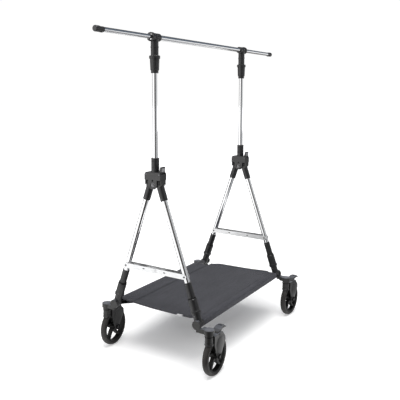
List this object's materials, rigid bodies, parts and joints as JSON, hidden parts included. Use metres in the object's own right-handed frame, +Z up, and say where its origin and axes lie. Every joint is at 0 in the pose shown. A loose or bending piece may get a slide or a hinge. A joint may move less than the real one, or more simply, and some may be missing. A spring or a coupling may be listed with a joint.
{
  "type": "valet stand",
  "caption": "Folding rolling valet stand: a telescopic chrome garment rail on two A-frames with braked castors and a fabric shelf slung between them.",
  "frame": {"origin": "on the floor, under the middle of the rail", "axes": "+X along the rail to the right, +Y towards the back, +Z up"},
  "size_m": [1.744, 0.7214, 1.672],
  "materials": {
    "chrome_tube": "bright polished",
    "satin_steel": "satin",
    "fasteners": "dark zinc",
    "black_tube": "satin black",
    "charcoal_fabric": "woven polyester",
    "tyre_rubber": "smooth rubber",
    "castor_plastic": "fine grain",
    "black_plastic": "fine grain"
  },
  "bodies": {
    "front_frame": {"leg_front_left": "chrome_tube", "leg_front_right": "chrome_tube", "front_leg_heads": "black_plastic", "front_leg_ferrules": "black_plastic", "front_feet": "black_plastic", "side_tube_front": "black_tube"},
    "back_frame": {"leg_back_left": "chrome_tube", "leg_back_right": "chrome_tube", "back_leg_heads": "black_plastic", "back_leg_ferrules": "black_plastic", "back_feet": "black_plastic", "side_tube_back": "black_tube", "shelf_sling": "charcoal_fabric"},
    "mast": {"rail_tube": "chrome_tube", "rail_bracket_left": "black_plastic", "rail_bracket_right": "black_plastic", "rail_bracket_screws": "fasteners", "upright_left": "chrome_tube", "upright_right": "chrome_tube", "upright_ferrules": "black_plastic", "hub_sockets": "black_plastic", "hub_outer_covers": "black_plastic", "hub_inner_covers": "black_plastic", "hub_fasteners": "fasteners"},
    "extension_left": {"rail_extension_left": "chrome_tube", "rail_end_cap_left": "black_plastic"},
    "top_sleeve_left": {"top_sleeve_left": "black_plastic"},
    "hub_lever_left": {"hub_lever_left": "black_plastic"},
    "spreader_front_left": {"spreader_front_left": "satin_steel"},
    "leg_sleeve_front_left": {"leg_sleeve_front_left": "black_plastic"},
    "castor_arm_front_left": {"castor_arm_front_left": "black_plastic"},
    "castor_fork_front_left": {"castor_fork_front_left": "castor_plastic"},
    "wheel_front_left": {"wheel_rim_front_left": "castor_plastic", "wheel_tyre_front_left": "tyre_rubber"},
    "brake_pedal_front_left": {"brake_pedal_front_left": "castor_plastic"},
    "spreader_back_left": {"spreader_back_left": "satin_steel"},
    "leg_sleeve_back_left": {"leg_sleeve_back_left": "black_plastic"},
    "castor_arm_back_left": {"castor_arm_back_left": "black_plastic"},
    "castor_fork_back_left": {"castor_fork_back_left": "castor_plastic"},
    "wheel_back_left": {"wheel_rim_back_left": "castor_plastic", "wheel_tyre_back_left": "tyre_rubber"},
    "brake_pedal_back_left": {"brake_pedal_back_left": "castor_plastic"},
    "extension_right": {"rail_extension_right": "chrome_tube", "rail_end_cap_right": "black_plastic"},
    "top_sleeve_right": {"top_sleeve_right": "black_plastic"},
    "hub_lever_right": {"hub_lever_right": "black_plastic"},
    "spreader_front_right": {"spreader_front_right": "satin_steel"},
    "leg_sleeve_front_right": {"leg_sleeve_front_right": "black_plastic"},
    "castor_arm_front_right": {"castor_arm_front_right": "black_plastic"},
    "castor_fork_front_right": {"castor_fork_front_right": "castor_plastic"},
    "wheel_front_right": {"wheel_rim_front_right": "castor_plastic", "wheel_tyre_front_right": "tyre_rubber"},
    "brake_pedal_front_right": {"brake_pedal_front_right": "castor_plastic"},
    "spreader_back_right": {"spreader_back_right": "satin_steel"},
    "leg_sleeve_back_right": {"leg_sleeve_back_right": "black_plastic"},
    "castor_arm_back_right": {"castor_arm_back_right": "black_plastic"},
    "castor_fork_back_right": {"castor_fork_back_right": "castor_plastic"},
    "wheel_back_right": {"wheel_rim_back_right": "castor_plastic", "wheel_tyre_back_right": "tyre_rubber"},
    "brake_pedal_back_right": {"brake_pedal_back_right": "castor_plastic"}
  },
  "joints": [
    {"name": "fold", "type": "hinge", "parent": "back_frame", "child": "front_frame", "pos_m": [0, 0, 0.926], "axis": [1, 0, 0], "range_deg": [0, 38.6], "deforming": ["shelf_sling"]},
    {"name": "mast_swing", "type": "hinge", "parent": "back_frame", "child": "mast", "pos_m": [0, 0, 0.926], "axis": [1, 0, 0], "range_deg": [0, 19.3]},
    {"name": "extension_left_slide", "type": "slide", "parent": "mast", "child": "extension_left", "axis": [1, 0, 0], "range_m": [0, 0.3]},
    {"name": "top_sleeve_left_slide", "type": "slide", "parent": "mast", "child": "top_sleeve_left", "axis": [0, 0, -1], "range_m": [0, 0.012], "stiffness_N_per_m": 600, "springref_m": -0.005},
    {"name": "hub_lever_left_hinge", "type": "hinge", "parent": "mast", "child": "hub_lever_left", "pos_m": [-0.45, -0.04, 0.98], "axis": [1, 0, 0], "range_deg": [-10, 0], "stiffness_Nm_per_rad": 0.6, "springref_deg": 5.73},
    {"name": "spreader_front_left_hinge", "type": "hinge", "parent": "front_frame", "child": "spreader_front_left", "pos_m": [-0.45, -0.18249, 0.48599], "axis": [1, 0, 0], "range_deg": [0, 62.5]},
    {"name": "leg_sleeve_front_left_slide", "type": "slide", "parent": "front_frame", "child": "leg_sleeve_front_left", "axis": [0, 0.3305, 0.9438], "range_m": [0, 0.012], "stiffness_N_per_m": 600, "springref_m": -0.005},
    {"name": "castor_arm_front_left_hinge", "type": "hinge", "parent": "front_frame", "child": "castor_arm_front_left", "pos_m": [-0.45, -0.26095, 0.26193], "axis": [1, 0, 0], "range_deg": [-19.3, 0]},
    {"name": "castor_front_left_swivel", "type": "hinge", "parent": "castor_arm_front_left", "child": "castor_fork_front_left", "pos_m": [-0.46, -0.32395, 0.2], "axis": [0, 0, 1], "continuous": true},
    {"name": "wheel_front_left_spin", "type": "hinge", "parent": "castor_fork_front_left", "child": "wheel_front_left", "pos_m": [-0.40501, -0.32299, 0.1], "axis": [-0.0175, 0.9998, 0], "continuous": true},
    {"name": "brake_front_left_press", "type": "hinge", "parent": "castor_fork_front_left", "child": "brake_pedal_front_left", "pos_m": [-0.39701, -0.32285, 0.2085], "axis": [-0.0175, 0.9998, 0], "range_deg": [0, 10]},
    {"name": "spreader_back_left_hinge", "type": "hinge", "parent": "back_frame", "child": "spreader_back_left", "pos_m": [-0.45, 0.18249, 0.48599], "axis": [1, 0, 0], "range_deg": [-62.5, 0]},
    {"name": "leg_sleeve_back_left_slide", "type": "slide", "parent": "back_frame", "child": "leg_sleeve_back_left", "axis": [0, -0.3305, 0.9438], "range_m": [0, 0.012], "stiffness_N_per_m": 600, "springref_m": -0.005},
    {"name": "castor_arm_back_left_hinge", "type": "hinge", "parent": "back_frame", "child": "castor_arm_back_left", "pos_m": [-0.45, 0.26095, 0.26193], "axis": [1, 0, 0], "range_deg": [0, 19.3]},
    {"name": "castor_back_left_swivel", "type": "hinge", "parent": "castor_arm_back_left", "child": "castor_fork_back_left", "pos_m": [-0.46, 0.32395, 0.2], "axis": [0, 0, 1], "continuous": true},
    {"name": "wheel_back_left_spin", "type": "hinge", "parent": "castor_fork_back_left", "child": "wheel_back_left", "pos_m": [-0.40521, 0.32875, 0.1], "axis": [-0.0872, 0.9962, 0], "continuous": true},
    {"name": "brake_back_left_press", "type": "hinge", "parent": "castor_fork_back_left", "child": "brake_pedal_back_left", "pos_m": [-0.39724, 0.32944, 0.2085], "axis": [-0.0872, 0.9962, 0], "range_deg": [0, 10]},
    {"name": "extension_right_slide", "type": "slide", "parent": "mast", "child": "extension_right", "axis": [1, 0, 0], "range_m": [-0.3, 0]},
    {"name": "top_sleeve_right_slide", "type": "slide", "parent": "mast", "child": "top_sleeve_right", "axis": [0, 0, -1], "range_m": [0, 0.012], "stiffness_N_per_m": 600, "springref_m": -0.005},
    {"name": "hub_lever_right_hinge", "type": "hinge", "parent": "mast", "child": "hub_lever_right", "pos_m": [0.45, -0.04, 0.98], "axis": [1, 0, 0], "range_deg": [-10, 0], "stiffness_Nm_per_rad": 0.6, "springref_deg": 5.73},
    {"name": "spreader_front_right_hinge", "type": "hinge", "parent": "front_frame", "child": "spreader_front_right", "pos_m": [0.45, -0.18249, 0.48599], "axis": [1, 0, 0], "range_deg": [0, 62.5]},
    {"name": "leg_sleeve_front_right_slide", "type": "slide", "parent": "front_frame", "child": "leg_sleeve_front_right", "axis": [0, 0.3305, 0.9438], "range_m": [0, 0.012], "stiffness_N_per_m": 600, "springref_m": -0.005},
    {"name": "castor_arm_front_right_hinge", "type": "hinge", "parent": "front_frame", "child": "castor_arm_front_right", "pos_m": [0.45, -0.26095, 0.26193], "axis": [1, 0, 0], "range_deg": [-19.3, 0]},
    {"name": "castor_front_right_swivel", "type": "hinge", "parent": "castor_arm_front_right", "child": "castor_fork_front_right", "pos_m": [0.46, -0.32395, 0.2], "axis": [0, 0, 1], "continuous": true},
    {"name": "wheel_front_right_spin", "type": "hinge", "parent": "castor_fork_front_right", "child": "wheel_front_right", "pos_m": [0.51497, -0.32587, 0.1], "axis": [0.0349, 0.9994, 0], "continuous": true},
    {"name": "brake_front_right_press", "type": "hinge", "parent": "castor_fork_front_right", "child": "brake_pedal_front_right", "pos_m": [0.52296, -0.32615, 0.2085], "axis": [0.0349, 0.9994, 0], "range_deg": [0, 10]},
    {"name": "spreader_back_right_hinge", "type": "hinge", "parent": "back_frame", "child": "spreader_back_right", "pos_m": [0.45, 0.18249, 0.48599], "axis": [1, 0, 0], "range_deg": [-62.5, 0]},
    {"name": "leg_sleeve_back_right_slide", "type": "slide", "parent": "back_frame", "child": "leg_sleeve_back_right", "axis": [0, -0.3305, 0.9438], "range_m": [0, 0.012], "stiffness_N_per_m": 600, "springref_m": -0.005},
    {"name": "castor_arm_back_right_hinge", "type": "hinge", "parent": "back_frame", "child": "castor_arm_back_right", "pos_m": [0.45, 0.26095, 0.26193], "axis": [1, 0, 0], "range_deg": [0, 19.3]},
    {"name": "castor_back_right_swivel", "type": "hinge", "parent": "castor_arm_back_right", "child": "castor_fork_back_right", "pos_m": [0.46, 0.32395, 0.2], "axis": [0, 0, 1], "continuous": true},
    {"name": "wheel_back_right_spin", "type": "hinge", "parent": "castor_fork_back_right", "child": "wheel_back_right", "pos_m": [0.51492, 0.32683, 0.1], "axis": [-0.0523, 0.9986, 0], "continuous": true},
    {"name": "brake_back_right_press", "type": "hinge", "parent": "castor_fork_back_right", "child": "brake_pedal_back_right", "pos_m": [0.52291, 0.32725, 0.2085], "axis": [-0.0523, 0.9986, 0], "range_deg": [0, 10]}
  ],
  "couplings": [
    {"joint": "mast_swing", "follows": "fold", "ratio": 0.5},
    {"joint": "spreader_front_left_hinge", "follows": "fold", "ratio": 1.6128},
    {"joint": "castor_arm_front_left_hinge", "follows": "fold", "ratio": -0.5},
    {"joint": "spreader_back_left_hinge", "follows": "fold", "ratio": -1.6128},
    {"joint": "castor_arm_back_left_hinge", "follows": "fold", "ratio": 0.5},
    {"joint": "spreader_front_right_hinge", "follows": "fold", "ratio": 1.6128},
    {"joint": "castor_arm_front_right_hinge", "follows": "fold", "ratio": -0.5},
    {"joint": "spreader_back_right_hinge", "follows": "fold", "ratio": -1.6128},
    {"joint": "castor_arm_back_right_hinge", "follows": "fold", "ratio": 0.5}
  ]
}
